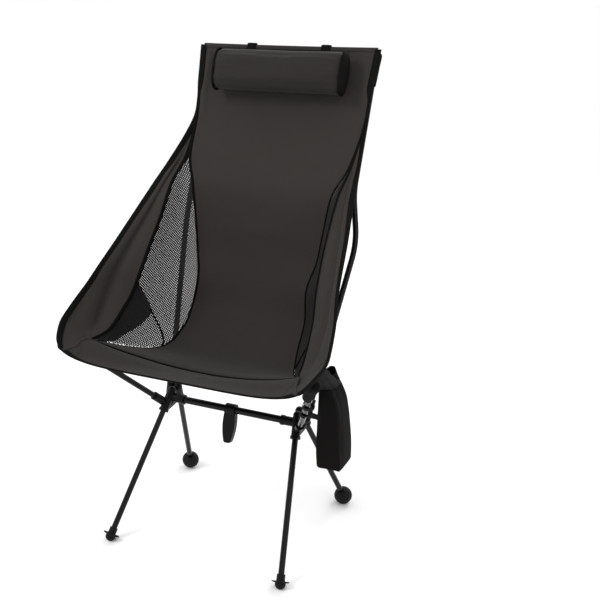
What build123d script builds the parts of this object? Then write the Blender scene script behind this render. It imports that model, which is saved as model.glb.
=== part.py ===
"""Folding camp chair with a high back, a sling seat, a head pillow and a side pocket.

Millimetres. +X is the sitter's left, the chair faces -Y, +Z is up, and the feet stand on Z = 0.
"""
from build123d import *
import math
import os

os.makedirs("parts", exist_ok=True)

# ---------------------------------------------------------------- driving dimensions: frame
pole_diameter = 12.0          # every leg and pole
pole_wall = 1.0
bar_diameter = 15.0           # the crossbar between the two hubs
bar_wall = 1.2
bar_height = 258.0            # axis of the crossbar above the floor
bar_y = -19.3
fit_clearance = 0.08          # radial, between a pole and its socket
soft_clearance = 1.2          # between cloth and its neighbours

hub_x = 146.0                 # front leg axis at the crossbar's height
front_leg_offset = -7.0       # front leg axis from the crossbar, at the crossbar's height
rear_leg_offset = 32.0
rear_leg_inset = 3.0
front_foot_x = 192.0
front_foot_reach = 190.0      # floor distance in front of the crossbar
rear_foot_x = 195.0
rear_foot_reach = 177.0

socket_diameter = pole_diameter + 6.0
socket_wall_end = 4.0         # solid plastic past the end of each bored socket
leg_socket_drop = 24.0        # socket mouth below the crossbar, measured in height
leg_insertion = 44.0
rear_insertion = 38.0
seat_socket_offset = 13.0     # inner end of the seat pole from the front leg axis
seat_insertion = 26.0
back_insertion = 38.0
collar_diameter = bar_diameter + 4.0
collar_reach = 36.0           # collar's inner end from the front leg axis
web_thickness = 9.0
web_sag = 4.0                 # how far the web's lower edge bows below the rear socket
web_opening = [(-19.0, -17.0), (17.0, -15.0), (6.0, 3.0), (-5.0, 3.0)]
flange_diameter = socket_diameter + 3.0
flange_height = 6.0
leg_pull_out = 30.0           # how far a leg slides before it leaves its socket

# ---------------------------------------------------------------- driving dimensions: feet
foot_ball_diameter = 21.0
foot_flange_diameter = 34.0
foot_flange_thickness = 2.0
foot_collar_diameter = pole_diameter + 4.5
foot_collar_height = 18.0
foot_floor_gap = 9.9          # height of the ball's centre, which leaves a small flat
cap_diameter = pole_diameter + 3.0
cap_length = 24.0
cover_diameter = 39.0
cover_centre_height = 19.0
plug_length = 16.0
plug_cap = 7.0                # how far a tip stands out of its tube
tip_diameter = pole_diameter + 0.6
tip_rounding = 3.5
flange_rise = 3.0
foot_seat = 5.0               # end of the leg above the ball's centre
cap_depth = 6.0               # how far the cap reaches past the middle of its ball cover
cap_seat = -2.0

# ---------------------------------------------------------------- driving dimensions: poles
seat_tip = (253.0, -204.0, 178.0)      # x, from the crossbar in y and z
back_foot = (156.5, 20.0, 6.0)
back_joint = (186.3, 138.2, 262.0)
back_bend_height = 334.0
back_knee = (181.0, 182.0, 434.0)
back_tip = (184.0, 281.0, 690.0)
back_bend_radius = 160.0
ferrule_length = 60.0
ferrule_diameter = pole_diameter - 2 * pole_wall - 0.6
cord_diameter = 3.0
cord_hole_diameter = 4.2
cord_anchor = 6.0             # how far a cord reaches into its hub past the pole
seat_cord_anchor = 3.0

# ---------------------------------------------------------------- driving dimensions: cloth
cloth_thickness = 1.6
mesh_thickness = 1.2
tape_width = 5.0
tape_thickness = 3.0
hem_depth = 5.0
sleeve_diameter = tip_diameter + 4.9
sleeve_clearance = 0.6
sleeve_end = 3.0
sleeve_length = 58.0

# One row for each station of the sling, front edge to top edge. Every row lies in the plane
# through its centre point and its two edge points: (edge x, edge y, edge z), (centre y, z),
# then the seam between seat panel and side, and the outer seam of the side's mesh window,
# each as (x, depth forward of the centre). y and z are measured from the crossbar.
sling_rows = [
    ((246, -241, 179), (-246, 158), (238, 17.0), None),
    ((257, -230, 193), (-193, 144), (226, 42.0), (226, 42.0)),
    ((268, -206, 209), (-128, 130), (214, 70.0), (217, 76.0)),
    ((272, -184, 222), (-23, 115), (150, 18.0), (206, 132.0)),
    ((266, -146, 250), (42, 138), (130, 15.0), (203, 160.0)),
    ((260, -120, 270), (84, 182), (126, 14.0), (196, 160.0)),
    ((250, -87, 302), (110, 242), (121, 22.0), (188, 150.0)),
    ((240, -38, 342), (128, 297), (133, 18.0), (183, 132.0)),
    ((231, 11, 382), (135, 357), (141, 15.5), (180, 100.0)),
    ((216, 81, 442), (146, 432), (153, 15.5), (180, 58.0)),
    ((204, 142, 492), (174, 482), (175, 12.5), (181, 18.0)),
    ((191.5, 213, 562), (220, 557), (185, 6.5), (185, 6.5)),
    ((193, 235, 632), (240, 628), (187.5, 5.0), None),
    ((198, 261, 704), (266, 702), (192.5, 4.0), None),
]
window_rows = (2, 10)         # stations between which the mesh window runs
side_rows = (1, 11)           # stations between which the side panel runs

# ---------------------------------------------------------------- driving dimensions: fittings
clip_height = 70.0
clip_width = 22.0
clip_belly_width = 27.0
clip_foot_width = 14.0
clip_depth = 13.0
clip_ring_diameter = 24.0
clip_offset_x = -2.0
clip_lean = 14.0
clip_shoulder = 20.0
clip_clearance = 0.3
clip_mouth = 9.0

pillow_length = 300.0
pillow_height = 90.0
pillow_depth = 52.0
pillow_drop = 14.0            # top of the pillow below the sling's top edge
pillow_cap_thickness = 2.5
strap_width = 20.0
strap_thickness = 1.4
strap_spacing = 164.0
strap_front_length = 98.0
strap_rear_length = 70.0
strap_front = 2.4             # front face of the back panel to the strap
strap_rear = 5.0
strap_over = 6.2
pillow_gap = 5.5

pocket_width = 74.0
pocket_depth = 45.0
pocket_height = 182.0
pocket_floor_drop = 15.0      # floor of the pocket below the crossbar's axis
pocket_wall = 1.6
pocket_corner_radius = 12.0
pocket_x = 251.5
pocket_y_from_bar = -98.0
pocket_rim_height = 14.0
loop_stations = (0.60, 0.42)  # places of the loops along the seat pole, hub to tip
loop_width = 18.0
loop_wall = 1.5
loop_clearance = 0.5
loop_outer = pole_diameter + 2 * (loop_clearance + loop_wall)


def from_bar(x, y, z):
    """Return a point given as x, and y and z measured from the crossbar's axis."""
    return Vector(x, bar_y + y, bar_height + z)


def export(part, label):
    """Label a finished piece and write it to the parts folder."""
    part.label = label
    export_step(part, f"parts/{label}.step")


def export_pair(part, label):
    """Write a piece for the +X side, and its mirror image for the -X side."""
    export(part, f"{label}_left")
    with BuildPart() as other:
        mirror(part, about=Plane.YZ)
    export(other.part, f"{label}_right")


def make_tube(start, end, outer, wall):
    """Return a straight round tube between two points."""
    axis = end - start
    with BuildPart() as tube:
        with BuildSketch(Plane(origin=start, z_dir=axis)):
            Circle(outer / 2)
            Circle(outer / 2 - wall, mode=Mode.SUBTRACT)
        extrude(amount=axis.length)
    return tube.part


def make_rod(start, end, diameter):
    """Return a straight round rod between two points."""
    axis = end - start
    with BuildPart() as rod:
        with BuildSketch(Plane(origin=start, z_dir=axis)):
            Circle(diameter / 2)
        extrude(amount=axis.length)
    return rod.part


# ---------------------------------------------------------------- axes of the poles
front_top = from_bar(hub_x, front_leg_offset, 0)
rear_top = from_bar(hub_x - rear_leg_inset, rear_leg_offset, 0)
front_floor = Vector(front_foot_x, bar_y - front_foot_reach, 0)
rear_floor = Vector(rear_foot_x, bar_y + rear_foot_reach, 0)
front_down = (front_floor - front_top).normalized()
rear_down = (rear_floor - rear_top).normalized()
seat_end = from_bar(*seat_tip)
seat_out = (seat_end - (front_top + Vector(5, -2, -12))).normalized()
seat_start = front_top + Vector(5, -2, -12) + seat_out * seat_socket_offset
back_start = from_bar(*back_foot)
back_mid = from_bar(*back_joint)
back_up = (back_mid - back_start).normalized()


def below_bar(top, down, drop):
    """Return the point of a leg's axis that lies a given height below the crossbar."""
    return top + down * (drop / -down.Z)


front_mouth = below_bar(front_top, front_down, leg_socket_drop)
rear_mouth = below_bar(rear_top, rear_down, leg_socket_drop - 4)
front_leg_top = front_mouth - front_down * leg_insertion
rear_leg_top = rear_mouth - rear_down * rear_insertion

# ---------------------------------------------------------------- crossbar
bar_half = hub_x - socket_diameter / 2 - 3.0
with BuildPart() as crossbar:
    with BuildSketch(Plane(origin=(-bar_half, bar_y, bar_height), z_dir=(1, 0, 0))):
        Circle(bar_diameter / 2)
        Circle(bar_diameter / 2 - bar_wall, mode=Mode.SUBTRACT)
    extrude(amount=2 * bar_half)
export(crossbar.part, "crossbar")


# ---------------------------------------------------------------- hubs
def make_socket(mouth, inward, depth):
    """Return a socket's outer wall, with a domed inner end."""
    dome = mouth + inward * (depth + socket_wall_end)
    with BuildPart() as socket:
        with BuildSketch(Plane(origin=mouth, z_dir=inward)):
            Circle(socket_diameter / 2)
        extrude(amount=depth + socket_wall_end)
        with Locations(dome):
            Sphere(socket_diameter / 2)
    return socket.part


bore = pole_diameter + 2 * fit_clearance
bar_bore = bar_diameter + 2 * fit_clearance
seat_mouth = seat_start + seat_out * seat_insertion
back_mouth = back_start + back_up * back_insertion
collar_end = Vector(hub_x - collar_reach, bar_y, bar_height)
sockets = [
    (front_mouth, -front_down, leg_insertion, cord_anchor),
    (rear_mouth, -rear_down, rear_insertion, cord_anchor),
    (seat_mouth, -seat_out, seat_insertion, seat_cord_anchor),
    (back_mouth, -back_up, back_insertion, cord_anchor),
]
socket_walls = [make_socket(*socket[:3]) for socket in sockets]
socket_bores = [make_rod(mouth - inward, mouth + inward * depth, bore) for mouth, inward, depth, _ in sockets]
cord_holes = [make_rod(mouth, mouth + inward * (depth + anchor + 1), cord_hole_diameter)
              for mouth, inward, depth, anchor in sockets]
flanges = [make_rod(front_mouth, front_mouth - front_down * flange_height, flange_diameter),
           make_rod(rear_mouth, rear_mouth - rear_down * flange_height, flange_diameter),
           make_rod(collar_end, collar_end + Vector(flange_height, 0, 0), flange_diameter)]
collar = make_rod(collar_end, collar_end + Vector(collar_reach, 0, 0), collar_diameter)
collar_bore = make_rod(collar_end - Vector(1, 0, 0), Vector(bar_half, bar_y, bar_height), bar_bore)
web_plane = Plane(origin=(front_top + rear_top) * 0.5, x_dir=(0, 1, 0),
                  z_dir=front_down.cross(rear_down).normalized())
corners = [web_plane.to_local_coords(p) for p in (front_mouth, rear_mouth, rear_leg_top, front_leg_top)]
low_front, low_rear, top_rear, top_front = [(p.X, p.Y) for p in corners]

with BuildPart() as hub:
    # Web between the two leg sockets, with a rounded lower edge and an open middle.
    with BuildSketch(web_plane):
        with BuildLine():
            Polyline(low_rear, top_rear, top_front, low_front)
            ThreePointArc(low_front, (0, low_rear[1] - web_sag), low_rear)
        make_face()
    extrude(amount=web_thickness / 2, both=True)
    with BuildSketch(web_plane):
        with BuildLine():
            Polyline(*web_opening, close=True)
        make_face()
    extrude(amount=web_thickness, both=True, mode=Mode.SUBTRACT)
    for piece in (*socket_walls, *flanges, collar):
        add(piece)
    for hole in (*socket_bores, *cord_holes, collar_bore):
        add(hole, mode=Mode.SUBTRACT)
export_pair(hub.part, "hub")


# ---------------------------------------------------------------- legs and feet
def point_at_height(top, down, height):
    """Return the point of a leg's axis that stands at a given height above the floor."""
    return top + down * ((top.Z - height) / -down.Z)


def above_floor(part):
    """Return a foot with whatever reaches below the floor cut to a flat."""
    with BuildPart() as cut:
        add(part)
        split(bisect_by=Plane.XY, keep=Keep.TOP)
    return cut.part


front_ball = point_at_height(front_top, front_down, foot_floor_gap)
front_leg_end = front_ball - front_down * foot_seat
export_pair(make_tube(front_leg_top, front_leg_end, pole_diameter, pole_wall), "front_leg")

foot_plane = Plane(origin=front_ball, z_dir=-front_down)
with BuildPart() as front_foot:
    with Locations(foot_plane):
        Sphere(foot_ball_diameter / 2)
    with BuildSketch(foot_plane):
        Circle(foot_collar_diameter / 2)
    extrude(amount=foot_collar_height)
    # Thin dished disc, a profile of radius and height turned about the leg's axis.
    with BuildSketch(Plane(origin=front_ball, x_dir=foot_plane.x_dir, z_dir=-foot_plane.y_dir)):
        with BuildLine():
            Polyline((4, 0), (foot_flange_diameter / 2, flange_rise),
                     (foot_flange_diameter / 2, flange_rise + foot_flange_thickness),
                     (4, foot_flange_thickness + 1), close=True)
        make_face()
    revolve(axis=Axis(front_ball, -front_down))
    with BuildSketch(foot_plane.offset(foot_seat)):
        Circle(bore / 2)
    extrude(amount=foot_collar_height, mode=Mode.SUBTRACT)
export_pair(above_floor(front_foot.part), "front_foot")

rear_ball = point_at_height(rear_top, rear_down, cover_centre_height)
rear_leg_end = rear_ball - rear_down * cap_seat
export_pair(make_tube(rear_leg_top, rear_leg_end, pole_diameter, pole_wall), "rear_leg")

with BuildPart() as rear_cap:
    with BuildSketch(Plane(origin=rear_ball + rear_down * cap_depth, z_dir=-rear_down)):
        Circle(cap_diameter / 2)
    extrude(amount=cap_length)
    with BuildSketch(Plane(origin=rear_leg_end, z_dir=-rear_down)):
        Circle(bore / 2)
    extrude(amount=cap_length, mode=Mode.SUBTRACT)
export_pair(rear_cap.part, "rear_foot")

with BuildPart() as cover:
    with Locations(rear_ball):
        Sphere(cover_diameter / 2)
    with BuildSketch(Plane(origin=rear_ball + rear_down * cap_depth, z_dir=-rear_down)):
        Circle(cap_diameter / 2 + fit_clearance)
    extrude(amount=cover_diameter, mode=Mode.SUBTRACT)
export_pair(above_floor(cover.part), "ball_cover")

export_pair(make_rod(front_leg_top - front_down * cord_anchor, front_leg_end, cord_diameter), "front_leg_cord")
export_pair(make_rod(rear_leg_top - rear_down * cord_anchor, rear_leg_end, cord_diameter), "rear_leg_cord")

# ---------------------------------------------------------------- seat poles
seat_tube_end = seat_end - seat_out * plug_cap
export_pair(make_tube(seat_start, seat_tube_end, pole_diameter, pole_wall), "seat_pole")
export_pair(make_rod(seat_start - seat_out * seat_cord_anchor, seat_tube_end - seat_out * plug_length, cord_diameter),
            "seat_pole_cord")


def make_tip(tube_end, outward):
    """Return the rounded plug in the open end of a pole."""
    with BuildPart() as tip:
        with BuildSketch(Plane(origin=tube_end, z_dir=outward)):
            Circle(tip_diameter / 2)
        extrude(amount=plug_cap)
        fillet(tip.faces().sort_by(Axis(tube_end, outward))[-1].edges(), tip_rounding)
        with BuildSketch(Plane(origin=tube_end, z_dir=-outward)):
            Circle(pole_diameter / 2 - pole_wall - fit_clearance)
        extrude(amount=plug_length)
    return tip.part


export_pair(make_tip(seat_tube_end, seat_out), "seat_pole_tip")

# ---------------------------------------------------------------- back poles
back_bend = back_mid + back_up * ((back_bend_height - back_joint[2]) / back_up.Z)
back_end = from_bar(*back_tip)
back_top = (back_end - from_bar(*back_knee)).normalized()
back_tube_end = back_end - back_top * plug_cap
export_pair(make_tube(back_start, back_mid, pole_diameter, pole_wall), "back_pole_lower")
with BuildPart() as back_upper:
    with BuildLine() as back_path:
        FilletPolyline(back_mid, back_bend, from_bar(*back_knee), back_tube_end, radius=back_bend_radius)
    with BuildSketch(Plane(origin=back_mid, z_dir=back_up)):
        Circle(pole_diameter / 2)
        Circle(pole_diameter / 2 - pole_wall, mode=Mode.SUBTRACT)
    sweep(path=back_path.line)
export_pair(back_upper.part, "back_pole_upper")
ferrule_half = back_up * (ferrule_length / 2)
export_pair(make_tube(back_mid - ferrule_half, back_mid + ferrule_half, ferrule_diameter, pole_wall), "ferrule")
export_pair(make_tip(back_tube_end, back_top), "back_pole_tip")
export_pair(make_rod(back_start - back_up * cord_anchor, back_mid + ferrule_half, cord_diameter), "back_pole_cord")

# ---------------------------------------------------------------- clip on the crossbar
lean = math.radians(clip_lean)
clip_plane = Plane(origin=(clip_offset_x, bar_y, bar_height), x_dir=(1, 0, 0),
                   z_dir=(0, -math.cos(lean), math.sin(lean)))
ring_bore = bar_diameter + 2 * clip_clearance
with BuildPart() as clip:
    with BuildSketch(clip_plane):
        with BuildLine():
            Spline((clip_width / 2, 0), (clip_belly_width / 2, -clip_shoulder),
                   (clip_foot_width / 2, -clip_height))
            Line((clip_foot_width / 2, -clip_height), (-clip_foot_width / 2, -clip_height))
            Spline((-clip_foot_width / 2, -clip_height), (-clip_belly_width / 2, -clip_shoulder),
                   (-clip_width / 2, 0))
            Line((-clip_width / 2, 0), (clip_width / 2, 0))
        make_face()
    extrude(amount=clip_depth / 2, both=True)
    fillet(clip.edges().filter_by(Axis((0, 0, 0), clip_plane.z_dir)).group_by(Axis.Z)[0], clip_foot_width / 3)
    with BuildSketch(Plane(origin=(clip_offset_x - clip_width / 2, bar_y, bar_height), z_dir=(1, 0, 0))):
        Circle(clip_ring_diameter / 2)
    extrude(amount=clip_width)
    with BuildSketch(Plane(origin=(clip_offset_x - clip_width, bar_y, bar_height), z_dir=(1, 0, 0))):
        Circle(ring_bore / 2)
    extrude(amount=2 * clip_width, mode=Mode.SUBTRACT)
    # Snap mouth, cut through the rear of the ring.
    with BuildSketch(clip_plane):
        Rectangle(2 * clip_width, clip_mouth)
    extrude(amount=-clip_ring_diameter, mode=Mode.SUBTRACT)
export(clip.part, "pole_clip")


# ---------------------------------------------------------------- sling
def row_plane(row):
    """Return the plane of one sling row: its X is across, its Y runs from centre to edge."""
    edge, centre = row[0], row[1]
    across = Vector(0, edge[1] - centre[0], edge[2] - centre[1]).normalized()
    return Plane(origin=from_bar(0, *centre), x_dir=(1, 0, 0), z_dir=Vector(1, 0, 0).cross(across))


def row_edge(row):
    """Return a row's edge point as (x, depth) in its plane."""
    edge, centre = row[0], row[1]
    return edge[0], math.hypot(edge[1] - centre[0], edge[2] - centre[1])


def edge_inner(row):
    """Return the point of a row where the tape along its edge begins."""
    edge = Vector(*row_edge(row))
    inside = Vector(*(row[3] or (0, 0)))
    back = (inside - edge).normalized() * tape_width
    return edge.X + back.X, edge.Y + back.Y


def strip(start, end, thickness, inset_start, inset_end):
    """Return the four corners of a thin strip between two points, thickened away from the sitter."""
    run = Vector(end[0] - start[0], end[1] - start[1])
    along = run.normalized()
    outward = Vector(along.Y, -along.X)
    first = Vector(*start) + along * inset_start
    last = Vector(*end) - along * inset_end
    points = (first, last, last + outward * thickness, first + outward * thickness)
    return [(p.X, p.Y) for p in points]


def loft_strips(rows, ends, thickness, inset_start, inset_end):
    """Return a thin panel that follows the given rows between two points of each."""
    with BuildPart() as panel:
        for row, (start, end) in zip(rows, ends):
            with BuildSketch(row_plane(row)):
                with BuildLine():
                    Polyline(*strip(start, end, thickness, inset_start, inset_end), close=True)
                make_face()
        loft(ruled=True)
    return panel.part


def panel_section(half_width, depth, thickness):
    """Return the closed section of the seat and back panel, a shallow trough."""
    with BuildSketch() as section:
        with BuildLine():
            ThreePointArc((-half_width, depth), (0, 0), (half_width, depth))
            Line((half_width, depth), (half_width, depth - thickness))
            ThreePointArc((half_width, depth - thickness), (0, -thickness), (-half_width, depth - thickness))
            Line((-half_width, depth - thickness), (-half_width, depth))
        make_face()
    return section.sketch


with BuildPart() as sling_panel:
    for row in sling_rows:
        with BuildSketch(row_plane(row)):
            add(panel_section(row[2][0] - soft_clearance, row[2][1], cloth_thickness))
    loft(ruled=True)
export(sling_panel.part, "sling_panel")

side = sling_rows[side_rows[0]:side_rows[1] + 1]
export_pair(loft_strips(side, [(row[3], row_edge(row)) for row in side], cloth_thickness,
                        soft_clearance, tape_width + soft_clearance), "side_panel")
window = sling_rows[window_rows[0]:window_rows[1] + 1]
export_pair(loft_strips(window, [(row[2], row[3]) for row in window], mesh_thickness,
                        soft_clearance, soft_clearance), "mesh_window")
export_pair(loft_strips(sling_rows, [(edge_inner(row), row_edge(row)) for row in sling_rows], tape_thickness,
                        0, 0), "edge_tape")

for label, row, amount in (("front_hem", sling_rows[0], hem_depth), ("top_hem", sling_rows[-1], -hem_depth)):
    with BuildPart() as hem:
        with BuildSketch(row_plane(row)):
            add(panel_section(row[2][0] - soft_clearance, row[2][1], tape_thickness))
        extrude(amount=amount)
    export(hem.part, label)


def make_sleeve(end, outward, length):
    """Return the closed cloth sleeve that a pole's tip stands in."""
    with BuildPart() as sleeve:
        with BuildSketch(Plane(origin=end + outward * sleeve_end, z_dir=-outward)):
            Circle(sleeve_diameter / 2)
        extrude(amount=length)
        with BuildSketch(Plane(origin=end + outward * soft_clearance, z_dir=-outward)):
            Circle(tip_diameter / 2 + sleeve_clearance)
        extrude(amount=length, mode=Mode.SUBTRACT)
    return sleeve.part


export_pair(make_sleeve(seat_end, seat_out, sleeve_length), "front_sleeve")
export_pair(make_sleeve(back_end, back_top, sleeve_length), "top_sleeve")

# ---------------------------------------------------------------- pillow and its straps
low_centre = from_bar(0, *sling_rows[-2][1])
top_centre = from_bar(0, *sling_rows[-1][1])
back_line = (top_centre - low_centre).normalized()
back_plane = Plane(origin=top_centre, x_dir=back_line, z_dir=(1, 0, 0))
pillow_ahead = pillow_gap + pillow_depth / 2
pillow_plane = Plane(origin=back_plane.from_local_coords(Vector(-pillow_drop - pillow_height / 2, pillow_ahead, 0)),
                     x_dir=back_line, z_dir=(1, 0, 0))
pillow_half = pillow_length / 2 - pillow_cap_thickness
with BuildPart() as pillow:
    with BuildSketch(pillow_plane):
        RectangleRounded(pillow_height, pillow_depth, pillow_depth * 0.46)
    extrude(amount=pillow_half, both=True)
export(pillow.part, "pillow")
with BuildPart() as pillow_cap:
    with BuildSketch(pillow_plane.offset(pillow_half)):
        RectangleRounded(pillow_height, pillow_depth, pillow_depth * 0.46)
    extrude(amount=pillow_cap_thickness)
export_pair(pillow_cap.part, "pillow_cap")

with BuildPart() as strap:
    with BuildSketch(back_plane.offset((strap_spacing - strap_width) / 2)):
        with BuildLine():
            Polyline((-strap_front_length, strap_front), (strap_over, strap_front), (strap_over, -strap_rear),
                     (-strap_rear_length, -strap_rear), (-strap_rear_length, -strap_rear - strap_thickness),
                     (strap_over + strap_thickness, -strap_rear - strap_thickness),
                     (strap_over + strap_thickness, strap_front + strap_thickness),
                     (-strap_front_length, strap_front + strap_thickness), close=True)
        make_face()
    extrude(amount=strap_width)
export_pair(strap.part, "pillow_strap")

# ---------------------------------------------------------------- side pocket
pocket_y = bar_y + pocket_y_from_bar
pocket_floor = bar_height - pocket_floor_drop
pocket_plane = Plane(origin=(pocket_x, pocket_y, pocket_floor), x_dir=(1, 0, 0), z_dir=(0, 0, 1))
inner_width = pocket_width - 2 * pocket_wall
inner_depth = pocket_depth - 2 * pocket_wall
body_height = pocket_height - pocket_rim_height
with BuildPart() as pocket:
    with BuildSketch(pocket_plane):
        RectangleRounded(pocket_depth, pocket_width, pocket_corner_radius)
    extrude(amount=body_height)
    with BuildSketch(pocket_plane.offset(pocket_wall)):
        RectangleRounded(inner_depth, inner_width, pocket_corner_radius - pocket_wall)
    extrude(amount=pocket_height, mode=Mode.SUBTRACT)
export(pocket.part, "side_pocket")
with BuildPart() as rim:
    with BuildSketch(pocket_plane.offset(body_height)):
        RectangleRounded(pocket_depth, pocket_width, pocket_corner_radius)
        RectangleRounded(inner_depth, inner_width, pocket_corner_radius - pocket_wall, mode=Mode.SUBTRACT)
    extrude(amount=pocket_rim_height)
export(rim.part, "pocket_rim")

pocket_side = pocket_x - pocket_depth / 2
for name, station in zip(("front", "rear"), loop_stations):
    centre = seat_start + (seat_end - seat_start) * station
    with BuildPart() as loop:
        with BuildSketch(Plane(origin=centre - seat_out * (loop_width / 2), z_dir=seat_out)):
            Circle(loop_outer / 2)
        extrude(amount=loop_width)
        with Locations(Vector((centre.X + pocket_side) / 2, centre.Y, centre.Z)):
            Box(pocket_side - centre.X, loop_width, loop_wall)
        with BuildSketch(Plane(origin=centre - seat_out * loop_width, z_dir=seat_out)):
            Circle(pole_diameter / 2 + loop_clearance)
        extrude(amount=2 * loop_width, mode=Mode.SUBTRACT)
    export(loop.part, f"pocket_loop_{name}")
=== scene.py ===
"""Looks of a high-back folding camp chair: cloth sling, pole frame, head pillow and side pocket.

Metres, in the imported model's own frame: +Z is up, the chair faces -Y and stands on Z = 0.
"""
import logging
import math
from dataclasses import dataclass, field
from enum import Enum
from typing import Any, Callable, Iterable, Sequence

import bmesh
import bpy
from mathutils import Matrix, Vector, noise
from mathutils.bvhtree import BVHTree


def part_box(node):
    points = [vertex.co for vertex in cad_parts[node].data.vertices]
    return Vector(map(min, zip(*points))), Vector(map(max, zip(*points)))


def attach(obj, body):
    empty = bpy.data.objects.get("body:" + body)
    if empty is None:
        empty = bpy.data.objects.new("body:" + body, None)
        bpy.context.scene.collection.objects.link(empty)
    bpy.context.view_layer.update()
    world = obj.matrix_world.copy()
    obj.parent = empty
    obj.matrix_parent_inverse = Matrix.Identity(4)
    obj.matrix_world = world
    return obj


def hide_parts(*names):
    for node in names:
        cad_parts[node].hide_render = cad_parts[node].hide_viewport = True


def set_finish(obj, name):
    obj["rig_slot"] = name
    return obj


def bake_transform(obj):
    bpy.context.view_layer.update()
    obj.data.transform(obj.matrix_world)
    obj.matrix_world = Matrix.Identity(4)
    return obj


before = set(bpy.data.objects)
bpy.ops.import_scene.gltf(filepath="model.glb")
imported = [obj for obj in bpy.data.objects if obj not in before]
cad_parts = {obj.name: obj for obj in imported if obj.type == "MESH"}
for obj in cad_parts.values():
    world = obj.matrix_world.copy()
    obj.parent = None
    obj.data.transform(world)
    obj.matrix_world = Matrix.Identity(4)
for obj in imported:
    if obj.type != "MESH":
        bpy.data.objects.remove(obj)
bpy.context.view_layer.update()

LOG = logging.getLogger("camp_chair")
CROSSBAR_LOW, CROSSBAR_HIGH = (Vector(corner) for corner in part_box("crossbar"))
BAR = (CROSSBAR_LOW + CROSSBAR_HIGH) / 2
Colour = tuple[float, float, float]
Place = Callable[[float, float], Vector]


class Side(Enum):
    """The chair's two sides, as seen by the sitter."""

    LEFT = 1.0
    RIGHT = -1.0

    @property
    def label(self) -> str:
        """The side's name as the nodes spell it."""
        return self.name.lower()


# ---------------------------------------------------------------- shaders
class Socket:
    """A shader output that takes part in Python arithmetic."""

    def __init__(self, shader: "Shader", output: Any) -> None:
        """Wrap one output socket of a shader's node."""
        self.shader = shader
        self.output = output

    def _math(self, operation: str, *operands: Any) -> "Socket":
        """Add a Math node that works on the operands."""
        return self.shader.node("ShaderNodeMath", {"operation": operation}, dict(enumerate(operands)))

    def __add__(self, other: Any) -> "Socket":
        """Return self + other."""
        return self._math("ADD", self, other)

    def __sub__(self, other: Any) -> "Socket":
        """Return self - other."""
        return self._math("SUBTRACT", self, other)

    def __rsub__(self, other: Any) -> "Socket":
        """Return other - self."""
        return self._math("SUBTRACT", other, self)

    def __mul__(self, other: Any) -> "Socket":
        """Return self * other."""
        return self._math("MULTIPLY", self, other)

    def __truediv__(self, other: Any) -> "Socket":
        """Return self / other."""
        return self._math("DIVIDE", self, other)

    __radd__ = __add__
    __rmul__ = __mul__

    def sine(self) -> "Socket":
        """Return the sine."""
        return self._math("SINE", self)

    def absolute(self) -> "Socket":
        """Return the absolute value."""
        return self._math("ABSOLUTE", self)

    def below(self, limit: float) -> "Socket":
        """Return 1 where the value is under a limit, and 0 elsewhere."""
        return self._math("LESS_THAN", self, limit)

    def largest(self, other: Any) -> "Socket":
        """Return the larger of two values."""
        return self._math("MAXIMUM", self, other)


class Shader:
    """Builds one material's node tree round a Principled shader."""

    def __init__(self, name: str) -> None:
        """Start an empty material of that name."""
        self.material = bpy.data.materials.new(name)
        self.material.use_nodes = True
        self.tree = self.material.node_tree
        self.tree.nodes.clear()

    def node(self, kind: str, settings: dict[str, Any] | None = None,
             inputs: dict[Any, Any] | None = None, output: int | str | None = 0) -> Socket | None:
        """Add a node.

        Args:
            kind: the node's type.
            settings: its properties, and "stops" for a colour ramp's stops.
            inputs: values or sockets for its inputs, by name or number.
            output: the output that is wanted, or None for a node that has none.

        Returns:
            That output, ready for arithmetic.
        """
        made = self.tree.nodes.new(kind)
        for key, value in (settings or {}).items():
            if key == "stops":
                self._set_stops(made.color_ramp, value)
            else:
                setattr(made, key, value)
        for key, value in (inputs or {}).items():
            if isinstance(value, Socket):
                self.tree.links.new(value.output, made.inputs[key])
            else:
                made.inputs[key].default_value = value
        return None if output is None else Socket(self, made.outputs[output])

    @staticmethod
    def _set_stops(ramp: Any, stops: Sequence[tuple[float, Colour]]) -> None:
        """Give a colour ramp its stops, in order."""
        while len(ramp.elements) < len(stops):
            ramp.elements.new(0.5)
        for element, (position, colour) in zip(ramp.elements, stops):
            element.position = position
            element.color = (*colour, 1.0)

    def coordinates(self, output: str) -> Socket:
        """Return the Object or UV coordinates."""
        return self.node("ShaderNodeTexCoord", output=output)

    def split(self, vector: Socket) -> tuple[Socket, Socket, Socket]:
        """Return a vector's three parts."""
        first = self.node("ShaderNodeSeparateXYZ", None, {"Vector": vector})
        parts = first.output.node.outputs
        return first, Socket(self, parts[1]), Socket(self, parts[2])

    def noise(self, vector: Socket, scale: float, detail: float = 2.0) -> Socket:
        """Return a noise value between 0 and 1."""
        inputs = {"Vector": vector, "Scale": scale, "Detail": detail}
        return self.node("ShaderNodeTexNoise", None, inputs, "Fac")

    def blend(self, factor: Socket, low: Colour, high: Colour) -> Socket:
        """Return a colour between two, by a factor."""
        stops = {"stops": [(0.0, low), (1.0, high)]}
        return self.node("ShaderNodeValToRGB", stops, {"Fac": factor}, "Color")

    def bump(self, height: Socket, distance: float, strength: float = 1.0) -> Socket:
        """Return a normal from a height given between 0 and 1."""
        inputs = {"Height": height, "Distance": distance, "Strength": strength}
        return self.node("ShaderNodeBump", None, inputs, "Normal")

    def finish(self, **inputs: Any) -> bpy.types.Material:
        """Close the tree with a Principled shader.

        Args:
            inputs: its sockets, spelt with underscores for spaces.

        Returns:
            The finished material.
        """
        named = {key.replace("_", " "): value for key, value in inputs.items()}
        surface = self.node("ShaderNodeBsdfPrincipled", None, named, "BSDF")
        self.node("ShaderNodeOutputMaterial", None, {"Surface": surface}, None)
        return self.material


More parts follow.
